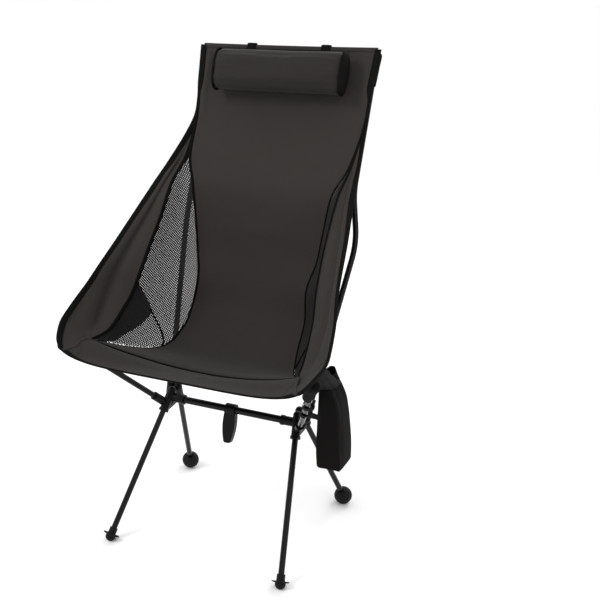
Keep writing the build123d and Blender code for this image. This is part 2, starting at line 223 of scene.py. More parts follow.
@dataclass(frozen=True)
class WovenCloth:
    """Tight plain-weave polyester, on UV in metres."""

    name: str
    shade: Colour = (0.0180, 0.0155, 0.0140)
    light: Colour = (0.0300, 0.0262, 0.0240)
    pitch: float = 0.0011
    relief: float = 0.00012
    roughness: float = 0.82
    coordinates: str = "UV"
    specular: float = 0.18
    sheen: float = 0.06

    def material(self) -> bpy.types.Material:
        """Build the cloth's material."""
        shader = Shader(self.name)
        uv = shader.coordinates(self.coordinates)
        across, along, deep = shader.split(uv)
        if self.coordinates == "Object":
            along = along + deep
        wave = 2.0 * math.pi / self.pitch
        warp = (across * wave).sine()
        weft = (along * wave).sine()
        weave = warp * weft * 0.5 + 0.5
        heather = shader.noise(uv, 900.0, 1.0)
        cloud = shader.noise(uv, 6.0, 3.0)
        tone = weave * 0.35 + heather * 0.35 + cloud * 0.45 - 0.1
        return shader.finish(Base_Color=shader.blend(tone, self.shade, self.light),
                             Roughness=cloud * 0.10 + (self.roughness - 0.05),
                             Normal=shader.bump(weave + heather * 0.4, self.relief, 0.6),
                             Sheen_Weight=self.sheen, Sheen_Roughness=0.5,
                             Specular_IOR_Level=self.specular)


@dataclass(frozen=True)
class RibbedTape:
    """Woven binding tape and webbing, ribbed along its length, on UV in metres."""

    name: str
    shade: Colour = (0.0010, 0.0010, 0.0010)
    light: Colour = (0.0036, 0.0035, 0.0034)
    pitch: float = 0.0012
    relief: float = 0.00015

    def material(self) -> bpy.types.Material:
        """Build the tape's material."""
        shader = Shader(self.name)
        uv = shader.coordinates("UV")
        across, along, _ = shader.split(uv)
        wave = 2.0 * math.pi / self.pitch
        rib = ((along + across * 0.5) * wave).sine() * 0.5 + 0.5
        cross = ((along - across * 0.5) * wave).sine() * 0.5 + 0.5
        weave = rib.largest(cross)
        fuzz = shader.noise(uv, 700.0, 1.0)
        return shader.finish(Base_Color=shader.blend(weave * 0.6 + fuzz * 0.4, self.shade, self.light),
                             Roughness=fuzz * 0.15 + 0.62,
                             Normal=shader.bump(weave, self.relief, 0.7), Specular_IOR_Level=0.07)


@dataclass(frozen=True)
class SolidFinish:
    """A solid material with fine grain, on object coordinates."""

    name: str
    shade: Colour
    light: Colour
    roughness: float
    spread: float = 0.08
    metallic: float = 0.0
    grain: float = 900.0
    relief: float = 0.00003
    coat: float = 0.0
    specular: float = 0.3
    stretch: tuple[float, float, float] = (1.0, 1.0, 1.0)

    def material(self) -> bpy.types.Material:
        """Build the material."""
        shader = Shader(self.name)
        place = shader.node("ShaderNodeMapping", None,
                            {"Vector": shader.coordinates("Object"), "Scale": self.stretch}, "Vector")
        fine = shader.noise(place, self.grain, 2.0)
        broad = shader.noise(place, 14.0, 4.0)
        return shader.finish(Base_Color=shader.blend(broad * 0.7 + fine * 0.3, self.shade, self.light),
                             Roughness=broad * (2 * self.spread) + (self.roughness - self.spread),
                             Normal=shader.bump(fine, self.relief, 0.8),
                             Metallic=self.metallic, Coat_Weight=self.coat, Coat_Roughness=0.12,
                             Specular_IOR_Level=self.specular)


@dataclass
class Wardrobe:
    """Every finish of the chair, each built once."""

    cloth: bpy.types.Material = field(init=False)
    dark_cloth: bpy.types.Material = field(init=False)
    pillow_cloth: bpy.types.Material = field(init=False)
    tape: bpy.types.Material = field(init=False)
    net: bpy.types.Material = field(init=False)
    thread: bpy.types.Material = field(init=False)
    tube: bpy.types.Material = field(init=False)
    moulding: bpy.types.Material = field(init=False)
    rubber: bpy.types.Material = field(init=False)
    elastic: bpy.types.Material = field(init=False)

    def __post_init__(self) -> None:
        """Build the materials."""
        self.cloth = WovenCloth("charcoal_cloth").material()
        self.dark_cloth = WovenCloth("black_cloth", (0.0022, 0.0019, 0.0018), (0.0060, 0.0052, 0.0048),
                                     specular=0.08, sheen=0.0).material()
        self.pillow_cloth = WovenCloth("pillow_cloth", (0.0115, 0.0098, 0.0090), (0.0210, 0.0182, 0.0168),
                                       coordinates="Object").material()
        self.tape = RibbedTape("black_tape").material()
        self.net = SolidFinish("net_yarn", (0.0100, 0.0092, 0.0090), (0.0240, 0.0225, 0.0220), 0.62,
                               specular=0.15).material()
        self.thread = SolidFinish("sewing_thread", (0.0070, 0.0068, 0.0066), (0.0220, 0.0210, 0.0200),
                                  0.55).material()
        self.tube = SolidFinish("black_anodised", (0.0010, 0.0010, 0.0011), (0.0030, 0.0030, 0.0032), 0.14,
                                spread=0.03,
                                grain=1500.0, relief=0.00001, specular=0.17).material()
        self.moulding = SolidFinish("moulded_nylon", (0.0012, 0.0012, 0.0013), (0.0036, 0.0036, 0.0038),
                                    0.36, specular=0.13).material()
        self.rubber = SolidFinish("matt_rubber", (0.0022, 0.0022, 0.0023), (0.0065, 0.0065, 0.0064), 0.60,
                                  specular=0.13).material()
        self.elastic = RibbedTape("elastic_cord", (0.02, 0.02, 0.02), (0.08, 0.08, 0.08)).material()


# ---------------------------------------------------------------- mesh helpers
class SmoothPath:
    """A smooth curve through a list of points, by station number."""

    def __init__(self, points: Iterable[Sequence[float]]) -> None:
        """Keep the points that the curve goes through."""
        self.points = [Vector(point) for point in points]

    def at(self, station: float) -> Vector:
        """Return the point at a station.

        Args:
            station: 0 at the first point, 1 at the second, and so on.

        Returns:
            The point on the curve.
        """
        last = len(self.points) - 1
        index = min(max(int(station), 0), last - 1)
        part = station - index
        before, start = self.points[max(index - 1, 0)], self.points[index]
        end, after = self.points[index + 1], self.points[min(index + 2, last)]
        lead, trail = (end - before) / 2, (after - start) / 2
        square, cube = part * part, part * part * part
        return (start * (2 * cube - 3 * square + 1) + lead * (cube - 2 * square + part)
                + end * (3 * square - 2 * cube) + trail * (cube - square))


def smooth_step(low: float, high: float, value: float) -> float:
    """Return 0 below low, 1 above high, and an even blend between."""
    part = min(max((value - low) / (high - low), 0.0), 1.0)
    return part * part * (3 - 2 * part)


def make_object(name: str, mesh_data: bmesh.types.BMesh, material: bpy.types.Material,
                smooth: bool = True) -> bpy.types.Object:
    """Turn a bmesh into an object at the origin.

    Args:
        name: the piece's name.
        mesh_data: its bmesh, which is freed.
        material: its finish.
        smooth: whether its faces are shaded smooth.

    Returns:
        The object, linked to the scene.
    """
    mesh = bpy.data.meshes.new(name)
    for face in mesh_data.faces:
        face.smooth = smooth
    mesh_data.to_mesh(mesh)
    mesh_data.free()
    mesh.materials.append(material)
    piece = bpy.data.objects.new(name, mesh)
    bpy.context.scene.collection.objects.link(piece)
    area = sum(face.area for face in mesh.polygons)
    LOG.info("%s: %d faces, %.4f m2", name, len(mesh.polygons), area)
    return piece


def mapped_grid(across: int, along: int, place: Place, size: tuple[float, float],
                closed: bool = False, flip: bool = False) -> bmesh.types.BMesh:
    """Bend a flat grid into a surface.

    Args:
        across: faces over the first coordinate.
        along: faces over the second coordinate.
        place: gives the point for two coordinates that run from 0 to 1.
        size: the cloth's real size over each, for the UV map.
        closed: whether the first coordinate comes round to its start.
        flip: whether the faces are turned over.

    Returns:
        The bmesh, with its UV map in metres.
    """
    grid = bmesh.new()
    layer = grid.loops.layers.uv.new("UVMap")
    bmesh.ops.create_grid(grid, x_segments=across, y_segments=along, size=0.5, calc_uvs=True)
    for face in grid.faces:
        for loop in face.loops:
            flat = loop.vert.co
            loop[layer].uv = ((flat.x + 0.5) * size[0], (flat.y + 0.5) * size[1])
    for vert in grid.verts:
        vert.co = place(vert.co.x + 0.5, vert.co.y + 0.5)
    if closed:
        bmesh.ops.remove_doubles(grid, verts=grid.verts, dist=1e-6)
    if flip:
        bmesh.ops.reverse_faces(grid, faces=grid.faces)
    return grid


def thicken(piece: bpy.types.Object, thickness: float, offset: float = -1.0) -> None:
    """Give a sheet its thickness with a modifier."""
    shell = piece.modifiers.new("thickness", "SOLIDIFY")
    shell.thickness = thickness
    shell.offset = offset
    shell.use_even_offset = False


def ribbon(name: str, path: Callable[[float], Vector], facing: Callable[[float], Vector], length: float,
           width: float, thickness: float, material: bpy.types.Material, steps: int,
           loop: bool = False, scaled: bool = False) -> bpy.types.Object:
    """Make a soft-edged band that runs along a path.

    Args:
        name: the piece's name.
        path: gives the band's middle for 0 to 1.
        facing: gives the direction across the band's width for 0 to 1.
        length: the band's length, for its weave.
        width: its width.
        thickness: its thickness.
        material: its finish.
        steps: the faces along it.
        loop: whether the path comes round to its start.
        scaled: whether the length of facing, up to 1, scales the width.

    Returns:
        The band.
    """
    around = 12
    tiny = 1e-4

    def place(turn: float, part: float) -> Vector:
        here = path(part)
        ahead = path(min(part + tiny, 1.0)) - path(max(part - tiny, 0.0))
        broad = facing(part)
        share = min(broad.length, 1.0) if scaled else 1.0
        broad = broad.normalized()
        deep = ahead.normalized().cross(broad).normalized()
        angle = turn * 2 * math.pi
        flat_cos = math.copysign(abs(math.cos(angle)) ** 0.6, math.cos(angle))
        flat_sin = math.copysign(abs(math.sin(angle)) ** 0.6, math.sin(angle))
        return here + broad * (flat_cos * width * share / 2) + deep * (flat_sin * thickness / 2)

    band = mapped_grid(around, steps, place, (2 * (width + thickness), length), closed=True)
    if loop:
        bmesh.ops.remove_doubles(band, verts=band.verts, dist=1e-6)
    else:
        rims = [edge for edge in band.edges if edge.is_boundary]
        bmesh.ops.holes_fill(band, edges=rims, sides=0)
    bmesh.ops.recalc_face_normals(band, faces=band.faces)
    return make_object(name, band, material)


def stitches(name: str, path: Callable[[float], Vector], length: float, material: bpy.types.Material,
             pitch: float = 0.0045, stitch: float = 0.0030, thickness: float = 0.0007) -> bpy.types.Object:
    """Make a row of sewn stitches along a path.

    Args:
        name: the piece's name.
        path: gives the row's points for 0 to 1.
        length: the path's length.
        material: the thread.
        pitch: from one stitch to the next.
        stitch: one stitch's length.
        thickness: the thread's thickness.

    Returns:
        The row as one piece.
    """
    row = bmesh.new()
    count = max(int(length / pitch), 1)
    for index in range(count):
        part = (index + 0.5) / count
        here = path(part)
        along = (path(min(part + 0.5 / count, 1.0)) - path(max(part - 0.5 / count, 0.0))).normalized()
        turn = along.to_track_quat("X", "Z").to_matrix().to_4x4()
        size = Matrix.Diagonal((stitch / 2, thickness / 2, thickness / 2, 1.0))
        bmesh.ops.create_icosphere(row, subdivisions=1, radius=1.0,
                                   matrix=Matrix.Translation(here) @ turn @ size)
    return make_object(name, row, material)


def path_length(path: Callable[[float], Vector], steps: int = 200) -> float:
    """Return a path's length by short steps."""
    points = [path(step / steps) for step in range(steps + 1)]
    return sum((end - start).length for start, end in zip(points, points[1:]))


# ---------------------------------------------------------------- the sling
@dataclass
class SlingShape:
    """The sling's surface, station by station from the seat's front edge (0) to the top edge (13).

    Each list is in metres from the crossbar's middle, for the left side; the right is its mirror.
    """

    edge: SmoothPath = field(default_factory=lambda: SmoothPath([
        (.246, -.241, .179), (.257, -.230, .193), (.268, -.206, .209), (.272, -.184, .222),
        (.266, -.146, .250), (.260, -.120, .270), (.250, -.087, .302), (.240, -.038, .342),
        (.231, .011, .382), (.216, .081, .442), (.204, .142, .492), (.1915, .213, .562),
        (.193, .235, .632), (.198, .261, .704)]))
    middle: SmoothPath = field(default_factory=lambda: SmoothPath([
        (0, -.246, .158), (0, -.193, .144), (0, -.128, .130), (0, -.023, .115), (0, .042, .138),
        (0, .084, .182), (0, .110, .242), (0, .128, .297), (0, .135, .357), (0, .146, .432),
        (0, .174, .482), (0, .220, .557), (0, .240, .628), (0, .266, .702)]))
    seam_flat: SmoothPath = field(default_factory=lambda: SmoothPath([
        (.238, .017, 0), (.226, .042, 0), (.214, .070, 0), (.150, .018, 0), (.130, .015, 0),
        (.126, .014, 0), (.121, .022, 0), (.133, .018, 0), (.141, .0155, 0), (.153, .0155, 0),
        (.175, .0125, 0), (.185, .0065, 0), (.1875, .005, 0), (.1925, .004, 0)]))
    outer_flat: SmoothPath = field(default_factory=lambda: SmoothPath([
        (.238, .017, 0), (.226, .042, 0), (.214, .070, 0), (.204, .129, 0), (.198, .151, 0),
        (.193, .154, 0), (.187, .148, 0), (.183, .132, 0), (.180, .100, 0), (.180, .058, 0),
        (.181, .018, 0), (.185, .0065, 0), (.1875, .005, 0), (.1925, .004, 0)]))
    last: float = 13.0

    def axes(self, station: float) -> tuple[Vector, Vector]:
        """Return the middle point of a station and the unit direction from it to the edges."""
        middle = self.middle.at(station)
        edge = self.edge.at(station)
        across = Vector((0.0, edge.y - middle.y, edge.z - middle.z))
        return middle + BAR, across.normalized()

    def in_row(self, station: float, x: float, depth: float, side: Side) -> Vector:
        """Return the point at x and depth in a station's own plane."""
        origin, across = self.axes(station)
        return origin + Vector((x * side.value, 0.0, 0.0)) + across * depth

    def edge_at(self, station: float, side: Side) -> Vector:
        """Return the sling's edge."""
        point = self.edge.at(station)
        return Vector((point.x * side.value, point.y, point.z)) + BAR

    def seam_at(self, station: float, side: Side) -> Vector:
        """Return the seam between the seat panel and what is beside it."""
        flat = self.seam_flat.at(station)
        return self.in_row(station, flat.x, flat.y, side)

    def outer_at(self, station: float, side: Side) -> Vector:
        """Return the seam between the net and the side panel."""
        flat = self.outer_flat.at(station)
        return self.in_row(station, flat.x, flat.y, side)

    def panel_at(self, station: float, part: float) -> Vector:
        """Return a point of the centre panel, part -1 at the right seam and 1 at the left."""
        flat = self.seam_flat.at(station)
        side = Side.LEFT if part >= 0 else Side.RIGHT
        power = 2.0 + 4.0 * (1.0 - smooth_step(0.0, 1.6, station))
        return self.in_row(station, flat.x * abs(part), flat.y * abs(part) ** power, side)


@dataclass
class Sling:
    """The cloth seat and back with its side panels, nets, binding, hems and sleeves."""

    wardrobe: Wardrobe
    shape: SlingShape = field(default_factory=SlingShape)
    cloth: float = 0.0011
    binding_width: float = 0.0135
    front_width: float = 0.0065
    binding_thickness: float = 0.0030
    net_first: float = 1.9
    net_last: float = 10.6
    net_cell: float = 0.0040
    net_hole: float = 0.00155
    net_depth: float = 0.0007
    net_reach: float = 0.36
    seam_width: float = 0.0090
    seam_station: float = 2.05
    panel_cut: tuple[float, float] = (0.49, 0.92)
    panel_area: float = 0.302
    side_cut: tuple[float, float] = (0.12, 0.66)
    side_area: float = 0.035
    net_cut: tuple[float, float] = (0.16, 0.56)
    net_area: float = 0.052
    corner_shade_patch_cut: tuple[float, float] = (0.10, 0.14)
    corner_shade_patch_area: float = 0.0082
    stitch_inset: float = 0.0022
    groove_shares: tuple[float, ...] = (0.22, 0.24, 0.34, 0.44, 0.48, 0.46, 0.40, 0.28, 0.24)
    groove_depth: float = 0.0092
    roll_height: float = 0.0036
    crease_depth: float = 0.0036
    front_swell: float = 0.0020
    pole_ridge_x: float = 0.176
    pole_ridge_height: float = 0.0026
    net_margin: float = 0.005

    def wrinkle(self, point: Vector, station: float, outward: float) -> float:
        """Return how far the cloth stands off its smooth shape.

        Args:
            point: where.
            station: its station along the sling.
            outward: 0 in the middle of the seat, 1 at the sling's edge.

        Returns:
            The distance towards the sitter, in metres.
        """
        broad = noise.noise(point * 7.0 + Vector((3.1, 0.0, 0.0))) * 0.0022
        fine = noise.noise(Vector((point.x * 16, point.y * 34, point.z * 34))) * 0.0008
        front = 1.0 - smooth_step(0.0, 2.2, station)
        pull = math.sin(abs(point.x) * 120.0) * 0.0007 * front * smooth_step(0.3, 1.0, outward)
        return (broad + fine) * (1.0 - 0.5 * outward) + pull

    def panel(self) -> bpy.types.Object:
        """Make the centre panel that is sat on."""
        shape = self.shape
        flat_length = path_length(lambda part: shape.panel_at(part * shape.last, 0.0))

        def place(across: float, along: float) -> Vector:
            station = along * shape.last
            part = across * 2.0 - 1.0
            point = shape.panel_at(station, part)
            ease = (1.0 - part * part) * smooth_step(0.0, 0.3, station) * smooth_step(13.0, 12.7, station)
            crease = math.exp(-((station - self.seam_station) / 0.13) ** 2) * -self.crease_depth
            crease += math.exp(-((station - 1.2) / 0.5) ** 2) * self.front_swell
            rise = self.wrinkle(point, station, abs(part)) * ease ** 0.5 + crease * (1.0 - part ** 8)
            behind = smooth_step(10.6, 11.6, station) * smooth_step(12.95, 12.6, station)
            off_ridge = (abs(point.x) - self.pole_ridge_x) / 0.007
            ridge = math.exp(-off_ridge ** 2) * self.pole_ridge_height * behind
            normal = self.panel_normal(station, part)
            return point + normal * (rise + ridge)

        grid = mapped_grid(120, 260, place, (0.42, flat_length))
        piece = make_object("seat_and_back_panel", grid, self.wardrobe.cloth)
        thicken(piece, self.cloth)
        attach(piece, "frame")
        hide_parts("sling_panel")
        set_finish(piece, "cloth")
        return piece

    def panel_normal(self, station: float, part: float) -> Vector:
        """Return the direction towards the sitter at a point of the centre panel."""
        shape = self.shape
        ahead = shape.panel_at(min(station + 0.05, shape.last), part)
        behind = shape.panel_at(max(station - 0.05, 0.0), part)
        left = shape.panel_at(station, min(part + 0.03, 1.0))
        right = shape.panel_at(station, max(part - 0.03, -1.0))
        return (left - right).cross(ahead - behind).normalized()

    def side_point(self, side: Side, across: float, station: float) -> Vector:
        """Return a point of the side panel, 0 at its inner seam and 1 at the sling's edge."""
        shape = self.shape
        inner = shape.outer_at(station, side)
        outer = shape.edge_at(station, side)
        span = outer - inner
        bow = 0.03 * span.length * math.sin(math.pi * across)
        out = Vector((side.value, 0.0, 0.0))
        return inner + span * across + (out - shape.axes(station)[1]) * bow

    def side_panel(self, side: Side) -> bpy.types.Object:
        """Make one solid side panel, from the net's outer seam to the bound edge."""
        first, last = 0.02, 11.6
        shape = self.shape
        length = path_length(lambda part: shape.edge_at(first + part * (last - first), side))

        groove = SmoothPath((place, share, 0) for place, share in enumerate(self.groove_shares))
        sitter = Vector((-side.value * 0.86, 0.10, 0.50)).normalized()

        def place(across: float, along: float) -> Vector:
            station = first + along * (last - first)
            point = self.side_point(side, across, station)
            ripple = noise.noise(point * 9.0 + Vector((0, 5.0, 0))) * 0.0022
            ripple += noise.noise(point * 26.0) * 0.0007
            shown = smooth_step(2.2, 3.6, station) * smooth_step(10.4, 9.2, station)
            middle = groove.at(station - 2.0).y if 2.0 <= station <= 10.0 else 0.3
            fold = math.exp(-((across - middle) / 0.12) ** 2) * -self.groove_depth * shown
            roll = math.exp(-((across - middle - 0.34) / 0.16) ** 2) * self.roll_height * shown
            ends = math.sin(math.pi * min(max(across, 0.0), 1.0)) ** 0.6
            return point + sitter * ((ripple + fold + roll) * ends)

        grid = mapped_grid(36, 300, place, (0.12, length), flip=side is Side.RIGHT)
        piece = make_object(f"side_panel_cloth_{side.label}", grid, self.wardrobe.cloth)
        thicken(piece, self.cloth)
        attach(piece, "frame")
        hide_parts(f"side_panel_{side.label}")
        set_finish(piece, "cloth")
        return piece

    def net(self, side: Side) -> bpy.types.Object:
        """Make one net window as a knitted sheet with real holes, cut from a flat lattice."""
        shape = self.shape

        def place(across: float, along: float) -> Vector:
            station = self.net_first + along * (self.net_last - self.net_first)
            inner, outer = shape.seam_at(station, side), shape.outer_at(station, side)
            span = (outer - inner).length
            share = across * (1.0 + 0.008 / span) - self.net_margin / span
            return inner + (outer - inner) * share + self.net_bow(side, across, station, span)

        surface = mapped_grid(24, 160, place, (1.0, 1.0))
        tree = BVHTree.FromBMesh(surface)
        surface.free()
        normal = Vector((0.885 * side.value, 0.39, -0.23)).normalized()
        middle = place(0.5, 0.45)
        turn = normal.to_track_quat("Z", "Y").to_matrix().to_4x4()
        askew = Matrix.Rotation(math.radians(45.0), 4, "Z")
        cells = int(2 * self.net_reach / self.net_cell)
        grid = bmesh.new()
        bmesh.ops.create_grid(grid, x_segments=cells, y_segments=cells, size=self.net_reach,
                              matrix=Matrix.Translation(middle) @ turn @ askew)
        outside = []
        for vert in grid.verts:
            hit = tree.ray_cast(vert.co - normal * 0.4, normal)[0]
            if hit is None:
                outside.append(vert)
            else:
                vert.co = hit
        bmesh.ops.delete(grid, geom=outside, context="VERTS")
        if side is Side.LEFT:
            bmesh.ops.reverse_faces(grid, faces=grid.faces)
        cells_left = list(grid.faces)
        bmesh.ops.inset_individual(grid, faces=cells_left, thickness=(self.net_cell - self.net_hole) / 2,
                                   use_even_offset=True)
        bmesh.ops.delete(grid, geom=cells_left, context="FACES")
        piece = make_object(f"net_{side.label}", grid, self.wardrobe.net)
        thicken(piece, self.net_depth, 0.0)
        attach(piece, "frame")
        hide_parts(f"mesh_window_{side.label}")
        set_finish(piece, "mesh")
        return piece

    def net_bow(self, side: Side, share: float, station: float, width: float) -> Vector:
        """Return how the net hangs out of the straight line between its seams."""
        row = self.shape.axes(station)[1]
        out = Vector((side.value, 0.0, 0.0))
        return (out - row) * (0.055 * width * math.sin(math.pi * share))

    def seam_tape(self, side: Side, name: str, line: Callable[[float, Side], Vector],
                  span: tuple[float, float]) -> bpy.types.Object:
        """Make the tape that binds one of the net's long seams.

        Args:
            side: which side of the chair.
            name: inner or outer.
            line: gives the seam's points by station and side.
            span: the tape's first and last station.

        Returns:
            The tape.
        """
        shape = self.shape
        first, last = span

        def path(part: float) -> Vector:
            return line(first + part * (last - first), side)

        def facing(part: float) -> Vector:
            station = min(max(first + part * (last - first), 3.2), 9.8)
            return shape.outer_at(station, side) - shape.seam_at(station, side)

        return ribbon(f"seam_tape_{name}_{side.label}", path, facing, path_length(path), self.seam_width,
                      0.0022, self.wardrobe.tape, 220)

    def seam_tapes(self, side: Side) -> list[bpy.types.Object]:
        """Make the tapes and the seams round one net."""
        return [self.seam_tape(side, "inner", self.shape.seam_at, (1.85, 11.2)),
                self.seam_tape(side, "outer", self.shape.outer_at, (1.85, 10.6)),
                self.join_seam(side), self.patch_stitches(side)]

    def join_seam(self, side: Side) -> bpy.types.Object:
        """Make the flat-felled seam that joins side and seat in front of the net's corner."""
        shape = self.shape

        def path(part: float) -> Vector:
            return shape.seam_at(part * 2.1, side)

        def facing(part: float) -> Vector:
            station = part * 2.1
            return shape.edge_at(station, side) - shape.panel_at(station, 0.9 * side.value)

        piece = ribbon(f"join_seam_{side.label}", path, facing, path_length(path), 0.0060, 0.0024,
                       self.wardrobe.cloth, 60)
        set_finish(piece, "cloth")
        return piece

    def patch_stitches(self, side: Side) -> bpy.types.Object:
        """Make the curved stitch row of the front corner's inner patch."""
        shape = self.shape
        spots = [self.side_point(side, 0.86, 3.0), self.side_point(side, 0.60, 2.5),
                 self.side_point(side, 0.25, 2.0), shape.seam_at(1.45, side),
                 shape.panel_at(0.95, 0.94 * side.value),
                 shape.panel_at(0.5, 0.91 * side.value), shape.panel_at(0.12, 0.90 * side.value)]
        line = SmoothPath(spot + Vector((-side.value * 0.0010, -0.0003, 0.0014)) for spot in spots)

        def path(part: float) -> Vector:
            return line.at(part * 6)

        return stitches(f"patch_stitches_{side.label}", path, path_length(path), self.wardrobe.thread,
                        pitch=0.004, stitch=0.0026, thickness=0.0008)

    def outline(self) -> tuple[SmoothPath, SmoothPath]:
        """Return the bound edge, from the top right corner round the front to the top left one.

        Returns:
            The path, and the directions into the cloth along it.
        """
        shape = self.shape
        front_steps = [0.0, 0.35, 0.7, 1.0, 1.4, 1.8]
        steps = front_steps + [2.0 + 0.5 * step for step in range(21)] + [12.4, 12.8, 13.0]
        left, right = ([(shape.edge_at(station, side), self.inward(side, station)) for station in steps]
                       for side in Side)
        shares = [0.0735 * step - 0.96 for step in range(27)]
        front = [(shape.panel_at(0.0, share), shape.panel_at(0.25, share)) for share in shares]
        spots = right[::-1] + [(edge, (inside - edge).normalized()) for edge, inside in front] + left
        return SmoothPath(spot[0] for spot in spots), SmoothPath(spot[1] for spot in spots)

    def binding(self) -> list[bpy.types.Object]:
        """Make the folded tape that binds the sides and front, its stitches, and the top's folded hem."""
        line, into = self.outline()
        last = len(line.points) - 1
        middle = last / 2

        def width(part: float) -> float:
            """Return the tape's width, narrower across the front."""
            away = abs(part * last - middle)
            widening = smooth_step(11.0, 15.0, away)
            return self.front_width + (self.binding_width - self.front_width) * widening

        def path(part: float) -> Vector:
            inward = into.at(part * last).normalized()
            return line.at(part * last) + inward * (width(part) / 2 - 0.0015)

        def facing(part: float) -> Vector:
            return into.at(part * last).normalized() * (width(part) / self.binding_width)

        def stitch_line(part: float) -> Vector:
            station = part * last
            inward = into.at(station).normalized()
            ahead = (line.at(min(station + 0.01, last)) - line.at(max(station - 0.01, 0))).normalized()
            sitter = inward.cross(ahead)
            aside = width(part) / 2 - self.stitch_inset
            return path(part) + inward * aside + sitter * (self.binding_thickness * 0.42)

        def top(part: float) -> Vector:
            share = part * 2 - 1
            below = self.shape.panel_at(self.shape.last - 0.06, share * 0.995)
            return self.shape.panel_at(self.shape.last, share * 0.995) * 0.9 + below * 0.1

        def top_stitches(part: float) -> Vector:
            share = (part * 2 - 1) * 0.97
            above = self.panel_normal(12.7, share) * 0.0020
            return self.shape.panel_at(self.shape.last - 0.27, share) + above

        length = path_length(path, 600)
        tape = ribbon("edge_binding", path, facing, length, self.binding_width, self.binding_thickness,
                      self.wardrobe.tape, 800, scaled=True)
        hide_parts("edge_tape_left", "edge_tape_right", "front_hem")
        row = stitches("edge_stitches", stitch_line, length, self.wardrobe.thread)
        fold = ribbon("top_fold", top, lambda _: self.shape.axes(13.0)[0] - self.shape.axes(12.8)[0],
                      path_length(top), 0.009, 0.0034, self.wardrobe.cloth, 160)
        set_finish(fold, "cloth")
        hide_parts("top_hem")
        top_row = stitches("top_stitches", top_stitches, path_length(top_stitches), self.wardrobe.thread)
        return [tape, row, fold, top_row, self.front_crease_shade_strip()]

    def front_crease_shade_strip(self) -> bpy.types.Object:
        """Make a dark cloth strip across the seat, from one net's lower corner to the other's, as painted
        shade along the seat's crease.
        """

        def path(part: float) -> Vector:
            share = (part * 2 - 1) * 0.985
            line = self.seam_station
            return self.shape.panel_at(line, share) + self.panel_normal(line, share) * -0.0016

        def facing(part: float) -> Vector:
            ahead, behind = self.seam_station - 0.3, self.seam_station + 0.3
            return self.shape.panel_at(behind, part * 2 - 1) - self.shape.panel_at(ahead, part * 2 - 1)

        # The black strip is painted shade: it stands in for the shadow line at the seat's crease.
        piece = ribbon("front_crease_shade_strip", path, facing, path_length(path), 0.0060, 0.0024,
                       self.wardrobe.dark_cloth, 160)
        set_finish(piece, "cloth")
        return piece

    def inward(self, side: Side, station: float) -> Vector:
        """Return the direction from the sling's edge into the cloth."""
        shape = self.shape
        edge = shape.edge_at(station, side)
        if 0.35 < station < 11.6:
            return (self.side_point(side, 0.9, station) - edge).normalized()
        return (shape.panel_at(station, 0.9 * side.value) - edge).normalized()

    def gusset(self, side: Side) -> bpy.types.Object:
        """Make a patch of black cloth at the front corner, over the net's lower outer part; its black is
        painted shade for the shaded underside of the side panel's fold.
        """
        shape = self.shape
        reach = SmoothPath([(2.1, 0.25, 0), (2.45, 0.50, 0), (3.0, 0.70, 0), (3.5, 0.64, 0),
                            (3.9, 0.58, 0), (4.45, 0.58, 0), (5.05, 0.78, 0), (5.6, 1.0, 0)])
        last = len(reach.points) - 1

        def place(across: float, along: float) -> Vector:
            spot = reach.at(along * last)
            share = spot.y + (1.02 - spot.y) * across
            inner, outer = shape.seam_at(spot.x, side), shape.outer_at(spot.x, side)
            width = (outer - inner).length
            out = Vector((side.value * 0.7, 0.0, -0.5)).normalized()
            sag = math.sin(math.pi * across) * 0.006 + 0.0035 * (1.0 - across)
            ripple = noise.noise(Vector((across * 3.0, along * 7.0, side.value))) * 0.003 * (1.0 - across)
            bow = self.net_bow(side, min(max(share, 0.0), 1.0), spot.x, width)
            return inner + (outer - inner) * share + bow + out * (sag + ripple)

        grid = mapped_grid(16, 60, place, (0.05, 0.14), flip=side is Side.RIGHT)
        # Black cloth here is painted shade: the patch stands in for the shaded underside of the side
        # panel's fold.
        piece = make_object(f"corner_gusset_{side.label}", grid, self.wardrobe.dark_cloth)
        thicken(piece, self.cloth, 0.0)
        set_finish(piece, "cloth")
        return piece

    def net_dart(self, side: Side) -> bpy.types.Object:
        """Make the narrow tape that runs from the dark corner patch down to the seat."""
        shape = self.shape
        line = SmoothPath([(4.45, 0.62, 0), (4.15, 0.50, 0), (3.75, 0.30, 0), (3.35, 0.12, 0),
                           (3.05, 0.0, 0)])

        def path(part: float) -> Vector:
            spot = line.at(part * 4)
            inner, outer = shape.seam_at(spot.x, side), shape.outer_at(spot.x, side)
            bow = self.net_bow(side, min(max(spot.y, 0.0), 1.0), spot.x, (outer - inner).length)
            return inner + (outer - inner) * spot.y + bow + Vector((-side.value * 0.001, 0, 0.001))

        def facing(part: float) -> Vector:
            spot = line.at(part * 4)
            return shape.outer_at(spot.x, side) - shape.seam_at(spot.x, side)

        piece = ribbon(f"net_dart_{side.label}", path, facing, path_length(path), 0.0045, 0.0018,
                       self.wardrobe.tape, 40)
        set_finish(piece, "tape")
        return piece

    def pole_sleeve(self, name: str, node: str, tip: Vector, along: Vector) -> bpy.types.Object:
        """Make the closed cloth sleeve that a pole's end stands in.

        Args:
            name: the piece's name.
            node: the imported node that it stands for.
            tip: the middle of the sleeve's closed end.
            along: from the closed end to the mouth, as long as the sleeve.

        Returns:
            The sleeve.
        """
        axis = along.normalized()
        broad = axis.cross(Vector((0.0, 0.9435, -0.3315))).normalized()
        deep = axis.cross(broad).normalized()
        profile = SmoothPath([(0.0, 0.0, 0), (0.0050, 0.0008, 0), (0.0082, 0.004, 0), (0.0090, 0.012, 0),
                              (0.0088, 0.030, 0), (0.0090, 0.045, 0), (0.0093, along.length, 0)])
        last = len(profile.points) - 1

